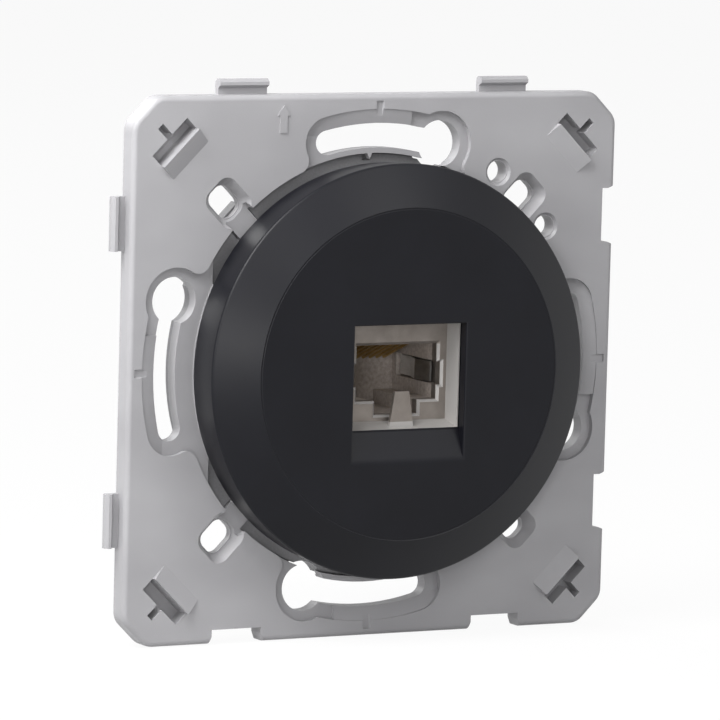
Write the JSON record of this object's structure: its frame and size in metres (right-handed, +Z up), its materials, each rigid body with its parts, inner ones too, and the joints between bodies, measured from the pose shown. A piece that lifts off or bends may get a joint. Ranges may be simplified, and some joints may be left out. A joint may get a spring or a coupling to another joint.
{
  "type": "flush data socket",
  "caption": "Flush-mounted data socket: square mounting frame, round dark cover with a shielded modular jack, and hinged rear wings round the cable.",
  "frame": {"origin": "centre of the mounting frame's back face, which lies on the wall", "axes": "+X to the right seen from the room, +Y into the wall, +Z up"},
  "size_m": [0.0728, 0.0367, 0.0728],
  "materials": {
    "grey_moulding": "satin grey moulding",
    "dark_cover": "fine textured anthracite",
    "black_moulding": "matte black",
    "nickel_casting": "nickel-plated casting",
    "contact_gold": "thin gold plating",
    "board_green": "solder mask",
    "white_moulding": "natural moulding",
    "tinned_metal": "tinned"
  },
  "bodies": {
    "socket": {"mounting_frame": "grey_moulding", "cover": "dark_cover", "jack_holder": "black_moulding", "shield_housing": "nickel_casting", "contact_insert": "black_moulding", "contact_1": "contact_gold", "contact_2": "contact_gold", "contact_3": "contact_gold", "contact_4": "contact_gold", "contact_5": "contact_gold", "contact_6": "contact_gold", "contact_7": "contact_gold", "contact_8": "contact_gold", "ground_spring_left": "tinned_metal", "ground_spring_right": "tinned_metal", "circuit_board": "board_green", "terminal_block": "white_moulding", "terminal_1": "tinned_metal", "terminal_2": "tinned_metal", "terminal_3": "tinned_metal", "terminal_4": "tinned_metal", "terminal_5": "tinned_metal", "terminal_6": "tinned_metal", "terminal_7": "tinned_metal", "terminal_8": "tinned_metal", "wire_cap": "white_moulding"},
    "wing_left": {"wing_left": "nickel_casting"},
    "wing_right": {"wing_right": "nickel_casting"}
  },
  "joints": [
    {"name": "wing_left_hinge", "type": "hinge", "parent": "socket", "child": "wing_left", "pos_m": [-0.007, 0.0097, 0], "axis": [0, 0, 1], "range_deg": [0, 80]},
    {"name": "wing_right_hinge", "type": "hinge", "parent": "socket", "child": "wing_right", "pos_m": [0.007, 0.0097, 0], "axis": [0, 0, -1], "range_deg": [0, 80]}
  ]
}
